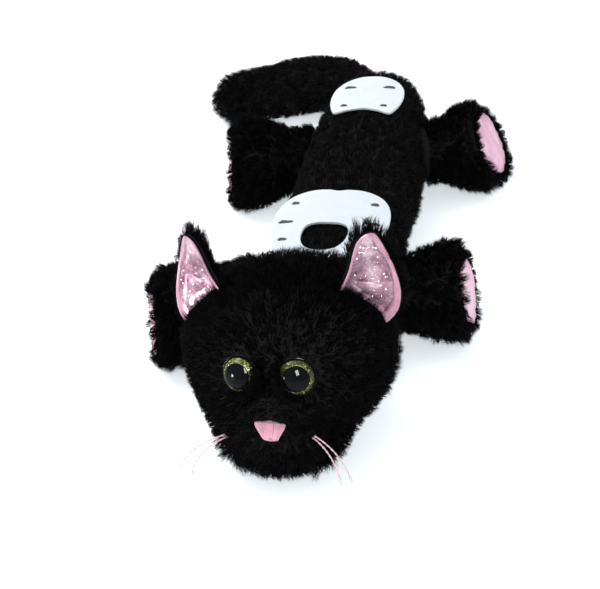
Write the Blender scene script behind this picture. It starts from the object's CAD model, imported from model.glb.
import math

import bmesh
import bpy
import numpy as np
from mathutils import Matrix, Vector
from mathutils.bvhtree import BVHTree
from mathutils.kdtree import KDTree


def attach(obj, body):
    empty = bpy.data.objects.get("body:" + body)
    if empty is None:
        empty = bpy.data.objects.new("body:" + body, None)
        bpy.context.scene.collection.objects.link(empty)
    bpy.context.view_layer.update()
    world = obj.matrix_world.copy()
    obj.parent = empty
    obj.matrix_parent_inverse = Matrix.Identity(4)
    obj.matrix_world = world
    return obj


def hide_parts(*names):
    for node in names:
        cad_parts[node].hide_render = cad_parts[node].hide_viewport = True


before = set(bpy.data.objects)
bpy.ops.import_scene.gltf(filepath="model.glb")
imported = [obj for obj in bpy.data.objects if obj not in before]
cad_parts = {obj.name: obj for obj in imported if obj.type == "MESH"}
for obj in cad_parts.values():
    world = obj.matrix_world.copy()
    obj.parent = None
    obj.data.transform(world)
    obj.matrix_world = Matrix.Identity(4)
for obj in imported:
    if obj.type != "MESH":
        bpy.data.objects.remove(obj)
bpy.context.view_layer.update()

MM = 0.001
DENSITY = 1.0

# ---------------------------------------------------------------------------
# camera, lights, floor
# ---------------------------------------------------------------------------
scene = bpy.context.scene
scene.view_settings.view_transform = "Standard"
scene.view_settings.look = "None"
scene.view_settings.exposure = 0.0

AZ, EL, ROLL, FOCAL_PX = 0.312, 0.653, -0.149, 1013.0
back = Vector((math.sin(AZ) * math.cos(EL), -math.cos(AZ) * math.cos(EL), math.sin(EL)))
fwd = -back
right = fwd.cross(Vector((0, 0, 1))).normalized()
up = right.cross(fwd)
r2 = right * math.cos(ROLL) + up * math.sin(ROLL)
u2 = -right * math.sin(ROLL) + up * math.cos(ROLL)
cam_data = bpy.data.cameras.new("camera")
cam_data.sensor_width = 36.0
cam_data.lens = FOCAL_PX / 600.0 * 36.0
cam_data.clip_start, cam_data.clip_end = 0.01, 20.0
cam = bpy.data.objects.new("camera", cam_data)
scene.collection.objects.link(cam)
m = Matrix((r2, u2, back)).transposed().to_4x4()
m.translation = Vector((109.4, -444.7, 328.9)) * MM
cam.matrix_world = m
scene.camera = cam

world = bpy.data.worlds.new("studio")
scene.world = world
world.use_nodes = True
bg = world.node_tree.nodes["Background"]
bg.inputs["Color"].default_value = (0.93, 0.97, 1.0, 1)
bg.inputs["Strength"].default_value = 0.86


def area_light(name, at, target, size, power, color=(1, 1, 1), size_y=None):
    d = bpy.data.lights.new(name, "AREA")
    d.energy = power
    d.color = color
    d.size = size
    if size_y:
        d.shape = "RECTANGLE"
        d.size_y = size_y
    o = bpy.data.objects.new(name, d)
    scene.collection.objects.link(o)
    o.location = Vector(at)
    o.rotation_euler = (Vector(target) - Vector(at)).to_track_quat("-Z", "Y").to_euler()
    return o


area_light("key", (-0.55, 0.25, 0.95), (0, 0, 0), 0.55, 8.0, (1.0, 0.99, 0.97))
window = area_light("window", (0.31, -0.70, 0.75), (0, -0.165, 0.06), 0.24, 34.0, (1, 1, 1), 0.46)
glint = area_light("side_glint", (-0.64, -0.64, 0.14), (0, -0.165, 0.06), 0.15, 9.0)
for lamp in (window, glint):
    lamp.visible_diffuse = False     # they only put the highlights in the eyes and a gloss on the pile

# ---------------------------------------------------------------------------
# materials
# ---------------------------------------------------------------------------


class Nodes:
    """A small helper for building a node material."""

    def __init__(self, name):
        self.mat = bpy.data.materials.new(name)
        self.mat.use_nodes = True
        self.t = self.mat.node_tree
        self.b = self.t.nodes["Principled BSDF"]
        self.coord = None

    def set(self, **values):
        for k, v in values.items():
            key = k.replace("_", " ")
            for s in self.b.inputs:
                if s.name.lower() == key.lower():
                    s.default_value = v
                    break
            else:
                raise KeyError(k)
        return self

    def node(self, kind, **values):
        n = self.t.nodes.new(kind)
        for k, v in values.items():
            if hasattr(n, k) and k not in n.inputs:
                setattr(n, k, v)
            else:
                n.inputs[k].default_value = v
        return n

    def link(self, a, out, b, inp):
        self.t.links.new(a.outputs[out], b.inputs[inp])

    def coords(self):
        if self.coord is None:
            self.coord = self.node("ShaderNodeTexCoord")
        return self.coord

    def noise(self, scale, detail=3.0, rough=0.6):
        n = self.node("ShaderNodeTexNoise")
        n.inputs["Scale"].default_value = scale
        n.inputs["Detail"].default_value = detail
        n.inputs["Roughness"].default_value = rough
        self.link(self.coords(), "Object", n, "Vector")
        return n

    def voronoi(self, scale, feature="F1"):
        n = self.node("ShaderNodeTexVoronoi")
        n.feature = feature
        n.inputs["Scale"].default_value = scale
        self.link(self.coords(), "Object", n, "Vector")
        return n

    def ramp(self, src, out, stops):
        r = self.node("ShaderNodeValToRGB")
        els = r.color_ramp.elements
        while len(els) > len(stops):
            els.remove(els[-1])
        while len(els) < len(stops):
            els.new(0.5)
        for e, (p, c) in zip(els, stops):
            e.position = p
            e.color = (*c, 1) if len(c) == 3 else c
        self.link(src, out, r, "Fac")
        return r

    def bump(self, src, out, strength, distance, after=None):
        bnode = self.node("ShaderNodeBump")
        bnode.inputs["Strength"].default_value = strength
        bnode.inputs["Distance"].default_value = distance
        self.link(src, out, bnode, "Height")
        if after is not None:
            self.link(after, "Normal", bnode, "Normal")
        self.link(bnode, "Normal", self.b, "Normal")
        return bnode


def fur_material(name, rgb, rough, spec=0.015):
    n = Nodes(name)
    n.set(Base_Color=(*rgb, 1), Roughness=rough, Specular_IOR_Level=spec)
    return n.mat


FUR = [
    fur_material("pile_black", (0.0018, 0.0018, 0.0022), 0.50),
    fur_material("pile_soft_black", (0.0030, 0.0029, 0.0034), 0.55),
    fur_material("pile_charcoal", (0.0050, 0.0048, 0.0054), 0.60),
    fur_material("pile_tip_grey", (0.0120, 0.0115, 0.0125), 0.60),
]
FUR_BODY = [
    fur_material("back_pile_black", (0.0030, 0.0028, 0.0030), 0.55),
    fur_material("back_pile_brown_black", (0.0056, 0.0050, 0.0050), 0.60),
    fur_material("back_pile_charcoal", (0.0110, 0.0098, 0.0096), 0.62),
    fur_material("back_pile_tip", (0.0240, 0.0210, 0.0205), 0.62),
]

n = Nodes("plush_backing")
n.set(Base_Color=(0.002, 0.002, 0.0024, 1), Roughness=0.9, Specular_IOR_Level=0.08)
weave = n.noise(900.0, 4.0, 0.7)
tone = n.noise(45.0, 2.0)
r = n.ramp(tone, "Fac", [(0.35, (0.0012, 0.0012, 0.0015)), (0.7, (0.0034, 0.0032, 0.0034))])
n.link(r, "Color", n.b, "Base Color")
n.bump(weave, "Fac", 0.6, 0.0006)
BACKING = n.mat

n = Nodes("pink_satin")
n.set(Roughness=0.42, Sheen_Weight=0.35, Sheen_Roughness=0.35)
tone = n.noise(60.0, 3.0)
r = n.ramp(tone, "Fac", [(0.3, (0.60, 0.27, 0.40)), (0.55, (0.74, 0.38, 0.52)), (0.75, (0.83, 0.50, 0.63))])
n.link(r, "Color", n.b, "Base Color")
weave = n.noise(2600.0, 2.0)
folds = n.noise(110.0, 3.0, 0.5)
b1 = n.bump(folds, "Fac", 0.35, 0.0012)
n.bump(weave, "Fac", 0.25, 0.00015, b1)
SATIN = n.mat

n = Nodes("pink_foil")
n.set(Metallic=0.80, Roughness=0.36)
grain = n.voronoi(1500.0)
fine = n.noise(330.0, 4.0, 0.6)
creases = n.noise(95.0, 3.0, 0.55)
r = n.ramp(creases, "Fac", [(0.32, (0.11, 0.050, 0.075)), (0.5, (0.27, 0.150, 0.195)), (0.68, (0.56, 0.41, 0.46))])
sparkle = n.ramp(grain, "Color", [(0.0, (0.75, 0.75, 0.75)), (0.72, (1, 1, 1)), (0.93, (1.6, 1.6, 1.6))])
mix = n.node("ShaderNodeMix")
mix.data_type = "RGBA"
mix.blend_type = "MULTIPLY"
mix.inputs["Factor"].default_value = 1.0
n.t.links.new(r.outputs["Color"], mix.inputs[6])
n.t.links.new(sparkle.outputs["Color"], mix.inputs[7])
n.t.links.new(mix.outputs[2], n.b.inputs["Base Color"])
b1 = n.bump(creases, "Fac", 0.35, 0.0020)
b2 = n.bump(fine, "Fac", 0.28, 0.0005, b1)
n.bump(grain, "Color", 0.55, 0.00022, b2)
FOIL = n.mat

FLECK = Nodes("foil_fleck").set(Base_Color=(0.95, 0.80, 0.86, 1), Metallic=0.9, Roughness=0.12).mat

n = Nodes("pink_foil_border")
n.set(Metallic=0.25, Roughness=0.42)
tone = n.noise(260.0, 3.0)
r = n.ramp(tone, "Fac", [(0.3, (0.46, 0.21, 0.30)), (0.7, (0.58, 0.31, 0.40))])
n.link(r, "Color", n.b, "Base Color")
n.bump(n.noise(1800.0, 2.0), "Fac", 0.35, 0.0002)
FOIL_BORDER = n.mat


def plain(name, rgb, rough, bump_scale=None, bump_dist=0.0002, strength=0.3, tone=0.12, **kw):
    """Plain moulded or thread material with a little tone and surface grain."""
    n = Nodes(name)
    n.set(Roughness=rough, **kw)
    t = n.noise(130.0, 2.0)
    lo = tuple(c * (1 - tone) for c in rgb)
    hi = tuple(min(1.0, c * (1 + tone)) for c in rgb)
    r = n.ramp(t, "Fac", [(0.3, lo), (0.7, hi)])
    n.link(r, "Color", n.b, "Base Color")
    if bump_scale:
        n.bump(n.noise(bump_scale, 2.0), "Fac", strength, bump_dist)
    return n.mat


PLATE = plain("white_plate", (0.665, 0.715, 0.765), 0.38, 420.0, 0.00012, 0.12, 0.03, Specular_IOR_Level=0.45)
NOSE_THREAD = plain("pink_nose_thread", (0.80, 0.36, 0.47), 0.45, 3000.0, 0.0002, 0.7, 0.26, Sheen_Weight=0.3)
WHISKER = plain("pink_whisker_thread", (0.82, 0.50, 0.58), 0.5, 3000.0, 0.0001, 0.3, 0.1)
BLACK_THREAD = plain("black_thread", (0.012, 0.012, 0.014), 0.55, 3500.0, 0.0001, 0.6, 0.3)
PINK_STITCH = plain("pink_topstitch", (0.70, 0.38, 0.48), 0.5, 3000.0, 0.0001, 0.4, 0.1)
FIBRE = plain("fibre_stuffing", (0.85, 0.85, 0.83), 0.9, 300.0, 0.001, 0.8, 0.06)
POUCH = plain("pouch_cloth", (0.78, 0.77, 0.72), 0.85, 1500.0, 0.0003, 0.5, 0.05)
PELLETS = plain("plastic_pellets", (0.75, 0.75, 0.72), 0.5, 260.0, 0.0015, 1.0, 0.1)
WASHER = plain("white_washer", (0.8, 0.8, 0.8), 0.45, 500.0, 0.0001, 0.2, 0.03)

n = Nodes("eye_black_gloss")
n.set(Roughness=0.3, Coat_Weight=0.14, Coat_Roughness=0.05, Specular_IOR_Level=0.0)
depth = n.noise(70.0, 1.0)
r = n.ramp(depth, "Fac", [(0.3, (0.002, 0.002, 0.003)), (0.8, (0.006, 0.006, 0.008))])
n.link(r, "Color", n.b, "Base Color")
EYE_BLACK = n.mat

n = Nodes("eye_olive_glitter")
n.set(Metallic=0.5, Roughness=0.35, Coat_Weight=0.12, Coat_Roughness=0.05)
flakes = n.voronoi(1900.0)
r = n.ramp(flakes, "Color", [(0.0, (0.004, 0.005, 0.001)), (0.45, (0.022, 0.028, 0.002)), (0.68, (0.085, 0.105, 0.006)), (0.85, (0.24, 0.28, 0.015)), (0.97, (0.9, 0.95, 0.25))])
n.link(r, "Color", n.b, "Base Color")
n.bump(flakes, "Color", 0.8, 0.0002)
EYE_GLITTER = n.mat

n = Nodes("pale_floor")
n.set(Roughness=0.7, Specular_IOR_Level=0.25, Emission_Color=(0.90, 0.96, 1.0, 1), Emission_Strength=0.62)
tone = n.noise(3.0, 2.0)
r = n.ramp(tone, "Fac", [(0.3, (0.90, 0.905, 0.91)), (0.7, (0.915, 0.915, 0.915))])
n.link(r, "Color", n.b, "Base Color")
FLOOR_MAT = n.mat

floor_mesh = bpy.data.meshes.new("floor")
S = 6.0
floor_mesh.from_pydata([(-S, -S, 0), (S, -S, 0), (S, S, 0), (-S, S, 0)], [], [(0, 1, 2, 3)])
floor_mesh.materials.append(FLOOR_MAT)
floor = bpy.data.objects.new("floor", floor_mesh)
scene.collection.objects.link(floor)

# ---------------------------------------------------------------------------
# mesh helpers (all shapes are worked out in millimetres)
# ---------------------------------------------------------------------------


def add_object(name, mesh, body, replaces=()):
    o = bpy.data.objects.new(name, mesh)
    scene.collection.objects.link(o)
    if body:
        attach(o, body)
    if replaces:
        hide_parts(*replaces)
    return o


def poly_mesh(name, verts, faces, mats, mat_index=None, smooth=True):
    me = bpy.data.meshes.new(name)
    me.from_pydata((np.asarray(verts, float) * MM).tolist(), [], faces)
    for mt in mats:
        me.materials.append(mt)
    if mat_index is not None:
        me.polygons.foreach_set("material_index", np.asarray(mat_index, np.int32))
    if smooth:
        me.polygons.foreach_set("use_smooth", np.ones(len(me.polygons), bool))
    me.update()
    return me


def grid_faces(nu, nv, wrap_v=True, flip=False):
    """Quads of a grid of nu rows by nv columns."""
    faces = []
    for i in range(nu - 1):
        for j in range(nv if wrap_v else nv - 1):
            k = (j + 1) % nv
            q = (i * nv + j, i * nv + k, (i + 1) * nv + k, (i + 1) * nv + j)
            faces.append(q[::-1] if flip else q)
    return faces


def closed_rows(rows):
    """Rows of points round an axis -> closed mesh with a point at each end."""
    nu, nv = rows.shape[:2]
    verts = rows.reshape(-1, 3)
    a, b = rows[0].mean(0), rows[-1].mean(0)
    faces = grid_faces(nu, nv)
    ia, ib = len(verts), len(verts) + 1
    verts = np.vstack([verts, a, b])
    for j in range(nv):
        k = (j + 1) % nv
        faces.append((ia, k, j))
        faces.append((ib, (nu - 1) * nv + j, (nu - 1) * nv + k))
    return verts, faces


def outward(me):
    bm = bmesh.new()
    bm.from_mesh(me)
    bmesh.ops.recalc_face_normals(bm, faces=bm.faces)
    bm.to_mesh(me)
    bm.free()
    me.update()
    return me


def smoothstep(a, b, x):
    t = np.clip((np.asarray(x, float) - a) / (b - a), 0, 1)
    return t * t * (3 - 2 * t)


def unit(v):
    return v / np.maximum(np.linalg.norm(v, axis=-1, keepdims=True), 1e-12)


def lumps(p, scale, seed=0):
    """Smooth pseudo-random field of points, about -1 to 1."""
    r = np.random.default_rng(seed)
    out = np.zeros(len(p))
    for _ in range(7):
        d = r.normal(size=3)
        d *= r.uniform(0.6, 1.5) / np.linalg.norm(d)
        out += np.sin(p @ d * (2 * math.pi / scale) + r.uniform(0, 2 * math.pi))
    return out / 3.2


def tube(path, radii, sides=8):
    """Verts and faces of a closed tube along points (mm)."""
    path = np.asarray(path, float)
    radii = np.broadcast_to(np.asarray(radii, float), (len(path),))
    t = unit(np.gradient(path, axis=0))
    ref = np.array([0.0, 0.0, 1.0]) if abs(t[0, 2]) < 0.9 else np.array([1.0, 0.0, 0.0])
    a = unit(np.cross(t, ref))
    b = np.cross(t, a)
    ang = np.arange(sides) * 2 * math.pi / sides
    rows = path[:, None] + radii[:, None, None] * (np.cos(ang)[None, :, None] * a[:, None] + np.sin(ang)[None, :, None] * b[:, None])
    return closed_rows(rows)


def join_parts(parts):
    verts, faces, n0 = [], [], 0
    for v, f in parts:
        verts.append(v)
        faces += [tuple(i + n0 for i in q) for q in f]
        n0 += len(v)
    return np.vstack(verts), faces


# ---------------------------------------------------------------------------
# shapes of the body parts, as the CAD has them
# ---------------------------------------------------------------------------
TORSO = np.array([
    (-88.0, 10.0, 33.0, 10.0), (-85.0, 16.0, 32.0, 16.0), (-79.0, 22.0, 30.0, 21.5), (-66.0, 27.5, 27.5, 26.5),
    (-45.0, 30.0, 26.5, 28.5), (-10.0, 30.0, 26.0, 28.5), (30.0, 31.0, 26.0, 28.5), (60.0, 31.5, 27.0, 29.5),
    (84.0, 29.5, 28.5, 29.0), (101.0, 26.0, 30.2, 27.6), (111.0, 21.5, 31.0, 24.0), (117.0, 15.0, 31.5, 18.0), (120.0, 8.0, 31.5, 9.0),
])
POWER = 2.5
HEAD_C, HEAD_R = np.array([0.0, -131.0, 47.0]), np.array([45.0, 38.5, 38.0])
MUZZLE_C, MUZZLE_R = np.array([-2.0, -149.0, 24.0]), np.array([30.5, 24.0, 24.4])
LIMBS = {
    "foreleg_left": ((33.0, -62.0, 25.0), 13.0, 36.6, 20.8, 21.5, 1.0, 10.5),
    "foreleg_right": ((-33.0, -64.0, 25.0), 207.0, 55.8, 20.8, 21.5, 203.0, 10.0),
    "hindleg_left": ((33.0, 70.0, 26.0), 22.0, 39.0, 23.0, 23.5, -4.5, 24.0),
    "hindleg_right": ((-33.0, 64.0, 26.0), 188.5, 50.5, 23.0, 23.5, 196.0, 9.0),
}
TAIL = np.array([
    (-8.0, 117.0, 30.0, 10.4), (-16.0, 131.0, 31.0, 12.4), (-27.0, 147.0, 29.5, 14.4), (-41.0, 159.5, 26.0, 15.7),
    (-57.0, 166.5, 21.5, 16.3), (-75.0, 167.5, 17.8, 16.3), (-93.0, 163.5, 16.2, 15.6), (-106.5, 158.0, 15.6, 14.0),
    (-114.5, 154.0, 15.2, 10.6), (-119.0, 151.6, 15.0, 5.0),
])
EAR_CORNERS = {
    "left": ((25.6, -129.0, 81.4), (44.2, -129.5, 65.4), (38.7, -120.5, 102.0)),
    "right": ((-24.7, -133.5, 82.6), (-42.4, -136.0, 65.9), (-35.8, -126.3, 102.3)),
}
EYE_X, EYE_Z = {"left": 12.4, "right": -10.2}, 62.2
WHISKERS = {
    "left": ((17.0, 32.0), (31.0, -169.5, 8.0), (27.0, -172.0, 8.5)),
    "right": ((-21.3, 30.5), (-45.8, -172.0, 7.5), (-39.0, -175.0, 7.0)),
}
EAR_CUP_R = 34.0
SHOULDER_X, SHOULDER_Z, RUMP_X, RUMP_Z = 2.0, 58.6, -0.4, 60.2
PLATE_T, PLATE_BEND_R = 1.6, 150.0
hole_half = [(0.0, -51.6), (6.0, -51.9), (10.0, -54.4), (11.2, -60.0), (10.2, -67.0), (6.6, -72.4), (0.0, -74.4)]


def resample(table, n, smooth=3):
    """Table rows (first column is the parameter) at n even steps, lightly rounded off."""
    s = np.linspace(table[0, 0], table[-1, 0], n)
    cols = []
    for k in range(1, table.shape[1]):
        c = np.interp(s, table[:, 0], table[:, k])
        for _ in range(smooth):
            c[1:-1] = 0.25 * c[:-2] + 0.5 * c[1:-1] + 0.25 * c[2:]
        cols.append(c)
    return np.column_stack([s] + cols)


def superoval(t, p=POWER):
    c, s = np.cos(t), np.sin(t)
    return np.sign(c) * np.abs(c) ** (2 / p), np.sign(s) * np.abs(s) ** (2 / p)


def torso_mesh():
    rows_t = resample(TORSO, 150, 10)
    nv = 112
    t = 2 * math.pi * np.arange(nv) / nv - math.pi / 2
    cx, sz = superoval(t)
    rows = np.zeros((len(rows_t), nv, 3))
    for i, (y, hw, zc, hh) in enumerate(rows_t):
        rows[i, :, 0], rows[i, :, 1], rows[i, :, 2] = cx * hw, y, zc + sz * hh
    p = rows.reshape(-1, 3)
    amount = 0.55 * lumps(p, 42.0, 3) + 0.25 * lumps(p, 17.0, 4)
    centre = np.column_stack([np.zeros(len(p)), p[:, 1], np.full(len(p), 28.0)])
    p = p + unit(p - centre) * amount[:, None]
    p[:, 2] = np.maximum(p[:, 2], 0.5)
    return closed_rows(p.reshape(rows.shape))


def head_radius(d, c):
    """Distance from c to the head's surface along unit directions d."""
    lo, hi = np.zeros(len(d)), np.full(len(d), 90.0)
    for _ in range(26):
        mid = 0.5 * (lo + hi)
        p = c + d * mid[:, None]
        inside = head_field(p) < 0
        lo, hi = np.where(inside, mid, lo), np.where(inside, hi, mid)
    return 0.5 * (lo + hi)


CHEEKS = [(np.array([-21.0, -141.0, 30.0]), np.array([18.5, 19.0, 19.0])), (np.array([15.8, -141.5, 32.5]), np.array([17.6, 17.4, 17.2]))]


def head_field(p):
    """Below zero inside the head: skull, jaw and cheeks melted together."""
    fields = []
    for c, r in [(HEAD_C, HEAD_R), (MUZZLE_C, MUZZLE_R), *CHEEKS]:
        q = (p - c) / r
        fields.append((np.linalg.norm(q, axis=1) - 1) * r.mean())
    f = np.array(fields)
    k = 1.6
    return -k * np.log(np.exp(-f / k).sum(0)) + 0.9


def head_mesh():
    bm = bmesh.new()
    bmesh.ops.create_icosphere(bm, subdivisions=7, radius=1.0)
    d = np.array([v.co for v in bm.verts])
    faces = [tuple(v.index for v in f.verts) for f in bm.faces]
    bm.free()
    c = np.array([0.0, -134.0, 38.0])
    r = head_radius(unit(d), c)
    p = c + unit(d) * r[:, None]
    p += unit(d) * (0.45 * lumps(p, 36.0, 8) + 0.2 * lumps(p, 15.0, 9))[:, None]
    # the eyes and the nose press into the pile
    for side in ("left", "right"):
        e, _ = eye_place(side)
        w = np.exp(-((np.linalg.norm(p - e, axis=1) / 8.5) ** 2))
        p -= unit(d) * (w * 0.15)[:, None]
    p[:, 2] = np.maximum(p[:, 2], 0.5)
    return p, faces


def eye_place(side):
    """Where an eye sits and which way it faces, as the CAD has it."""
    x, z = EYE_X[side], EYE_Z
    u, w = (x - HEAD_C[0]) / HEAD_R[0], (z - HEAD_C[2]) / HEAD_R[2]
    y = HEAD_C[1] - HEAD_R[1] * math.sqrt(1 - u * u - w * w)
    nn = np.array([(x - HEAD_C[0]) / HEAD_R[0] ** 2, (y - HEAD_C[1]) / HEAD_R[1] ** 2, (z - HEAD_C[2]) / HEAD_R[2] ** 2])
    nn = nn / np.linalg.norm(nn)
    return np.array([x, y, z]) + nn * 0.15, nn


def leg_frame(name):
    pivot, deg, length, paw, sole_z, sole_deg, sole_up = LIMBS[name]
    a, b, c = math.radians(deg), math.radians(sole_deg), math.radians(sole_up)
    flat = math.sqrt(length**2 - (sole_z - pivot[2]) ** 2)
    pivot = np.array(pivot)
    end = np.array([pivot[0] + flat * math.cos(a), pivot[1] + flat * math.sin(a), sole_z])
    d = (end - pivot) / np.linalg.norm(end - pivot)
    nrm = np.array([math.cos(b) * math.cos(c), math.sin(b) * math.cos(c), math.sin(c)])
    side = unit(np.cross([0.0, 0.0, 1.0], d))
    upv = np.cross(d, side)
    return pivot, end, d, nrm, side, upv, length, paw


def leg_mesh(name, seed):
    pivot, end, d, nrm, side, upv, length, paw = leg_frame(name)
    prof = np.array([
        (-14.0, 3.0), (-12.0, 8.8), (-8.0, 12.6), (-3.0, 14.8), (2.0, 15.6), (5.5, 15.6), (0.24 * length + 3, 15.9),
        (0.42 * length, 0.5 * (15.9 + paw)), (0.58 * length, paw - 0.9), (0.74 * length, paw), (0.88 * length, 0.985 * paw), (0.96 * length, 0.93 * paw),
        (length, 0.86 * paw),
    ])
    s = np.concatenate([np.linspace(-14, 6, 18), np.linspace(6, length, 54)[1:]])
    rr = np.interp(s, prof[:, 0], prof[:, 1])
    for _ in range(4):
        rr[1:-1] = 0.25 * rr[:-2] + 0.5 * rr[1:-1] + 0.25 * rr[2:]
    # then the flat end under the sole
    s = np.concatenate([s, np.full(4, length) - np.array([0.3, 0.8, 1.0, 1.0])])
    rr = np.concatenate([rr, 0.86 * paw * np.array([0.93, 0.8, 0.5, 0.15])])
    nv = 72
    t = 2 * math.pi * np.arange(nv) / nv
    ring = np.cos(t)[:, None] * side + np.sin(t)[:, None] * upv
    rows = pivot + s[:, None, None] * d + rr[:, None, None] * ring[None]
    # lean the last part over into the sole's plane
    w = smoothstep(0.55 * length, length, s)[:, None]
    off = ((rows - end) @ nrm) - (s - length)[:, None] * (d @ nrm)
    rows = rows - (w * off / (d @ nrm))[..., None] * d
    p = rows.reshape(-1, 3)
    grow = (0.7 * lumps(p, 30.0, seed) + 0.35 * lumps(p, 12.0, seed + 1)) * np.repeat(smoothstep(0, 12, s) * (1 - smoothstep(length - 4, length, s)), nv)
    axis_pt = pivot + ((p - pivot) @ d)[:, None] * d
    p = p + unit(p - axis_pt) * grow[:, None]
    p[:, 2] = np.maximum(p[:, 2], 0.5)
    return closed_rows(p.reshape(rows.shape))


def tail_curve(n=120):
    seg = np.concatenate([[0], np.cumsum(np.linalg.norm(np.diff(TAIL[:, :3], axis=0), axis=1))])
    table = np.column_stack([seg, TAIL])
    out = resample(table, n, 16)
    return out[:, 1:4], out[:, 4]


def tail_mesh():
    path, rad = tail_curve()
    rad = rad.copy()
    back_dir = unit(path[0] - path[3])
    path = np.vstack([path[0] + back_dir * 9.5, path[0] + back_dir * 6, path])
    rad = np.concatenate([[6.0], [9.0], rad])
    t = unit(np.gradient(path, axis=0))
    a = unit(np.cross(t, [0, 0, 1.0]))
    b = np.cross(a, t)
    nv = 64
    ang = 2 * math.pi * np.arange(nv) / nv
    rows = path[:, None] + rad[:, None, None] * (np.cos(ang)[None, :, None] * a[:, None] + np.sin(ang)[None, :, None] * b[:, None])
    p = rows.reshape(-1, 3)
    amount = 0.6 * lumps(p, 26.0, 31) + 0.3 * lumps(p, 11.0, 32)
    centre = np.repeat(path, nv, axis=0)
    p = p + unit(p - centre) * amount[:, None]
    p[:, 2] = np.maximum(p[:, 2], 0.5)
    return closed_rows(p.reshape(rows.shape))


def neck_mesh():
    c = np.array([0.0, -91.0, 38.0])
    nu, nv = 28, 64
    th = np.linspace(0.12, math.pi - 0.12, nu)
    ang = 2 * math.pi * np.arange(nv) / nv
    rows = np.zeros((nu, nv, 3))
    rows[..., 0] = c[0] + 17.0 * np.sin(th)[:, None] * np.cos(ang)
    rows[..., 1] = c[1] - 15.0 * np.cos(th)[:, None]
    rows[..., 2] = c[2] + 16.5 * np.sin(th)[:, None] * np.sin(ang)
    return closed_rows(rows)


def ear_frame(side):
    inner, outer, tip = [np.array(q) for q in EAR_CORNERS[side]]
    sx = 1 if side == "left" else -1
    mid = 0.5 * (inner + outer)
    across = (outer - inner) * sx
    chord = np.linalg.norm(across)
    across = across / chord
    upv = tip - mid
    upv = upv - across * (upv @ across)
    height = np.linalg.norm(upv)
    upv = upv / height
    front = np.cross(across, upv)
    if front[1] > 0:
        front, across = -front, -across
    lean = (tip - mid) @ across
    return mid, across, upv, front, chord, height, lean


EAR_WIDTH = np.array([(0.0, 0.98), (0.12, 1.03), (0.25, 1.06), (0.38, 1.06), (0.5, 1.02), (0.62, 0.92), (0.74, 0.76), (0.84, 0.56), (0.92, 0.35), (0.97, 0.18), (1.0, 0.0)])


def ear_half_width(v, half):
    return np.interp(v, EAR_WIDTH[:, 0], EAR_WIDTH[:, 1]) * half


def ear_point(frame_, u, v, depth, half, height, base=0.0):
    """Point of the cupped ear: u from -1 to 1 across, v from 0 to 1 up, depth towards the front."""
    mid, across, upv, front, chord, h, lean = frame_
    x = ear_half_width(v, half) * u
    if mid[0] < 0:      # the right ear's outer side hangs nearly straight
        x = x * (1 - 0.22 * np.sin(math.pi * np.clip(v * 1.05, 0, 1)) * (u * -np.sign(across[0]) > 0))
    x = x + lean * (0.15 + 0.85 * v) * smoothstep(0, 1, v)
    y = base + height * v
    z = EAR_CUP_R - np.sqrt(np.maximum(EAR_CUP_R**2 - x**2, 1.0)) + depth
    return mid + x[..., None] * across + y[..., None] * upv + z[..., None] * front


# ---------------------------------------------------------------------------
# skins
# ---------------------------------------------------------------------------
SKINS = {}


def skin(name, body, vf, cad):
    verts, faces = vf
    me = outward(poly_mesh(name, verts, faces, [BACKING]))
    o = add_object(name, me, body, cad)
    SKINS[name] = me
    return o


skin("torso_plush", "torso", torso_mesh(), ["torso_skin", "torso_stuffing", "pellet_pouch", "pellets"])
skin("head_plush", "head", head_mesh(), ["head_skin", "head_stuffing"])
skin("neck_plush", "neck", neck_mesh(), ["neck_skin", "neck_stuffing"])
for i, name in enumerate(LIMBS):
    skin(name + "_plush", name, leg_mesh(name, 50 + 5 * i), [name + "_skin", name + "_stuffing"])
skin("tail_plush", "tail", tail_mesh(), ["tail_skin", "tail_stuffing"])

EARS = {}
LININGS = []


def ring_of(nu, nv):
    """Indices round the edge of an nv by nu grid."""
    return [j for j in range(nu)] + [i * nu + nu - 1 for i in range(1, nv)] + [(nv - 1) * nu + j for j in range(nu - 2, -1, -1)] + [i * nu for i in range(nv - 2, 0, -1)]


def sheet_between(pf, pb, nu, nv):
    """Closed skin between a front and a back grid."""
    k = nu * nv
    front_faces = [(i * nu + j, i * nu + j + 1, (i + 1) * nu + j + 1, (i + 1) * nu + j) for i in range(nv - 1) for j in range(nu - 1)]
    back_faces = [tuple(k + q for q in f[::-1]) for f in front_faces]
    rim = ring_of(nu, nv)
    rim_faces = [(b, a, k + a, k + b) for a, b in zip(rim, rim[1:] + rim[:1])]
    return np.vstack([pf.reshape(-1, 3), pb.reshape(-1, 3)]), front_faces, back_faces, rim_faces


def tidy(me, dist):
    bm = bmesh.new()
    bm.from_mesh(me)
    bmesh.ops.remove_doubles(bm, verts=bm.verts, dist=dist)
    bmesh.ops.recalc_face_normals(bm, faces=bm.faces)
    bm.to_mesh(me)
    bm.free()
    for pl in me.polygons:
        pl.use_smooth = True
    return me


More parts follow.
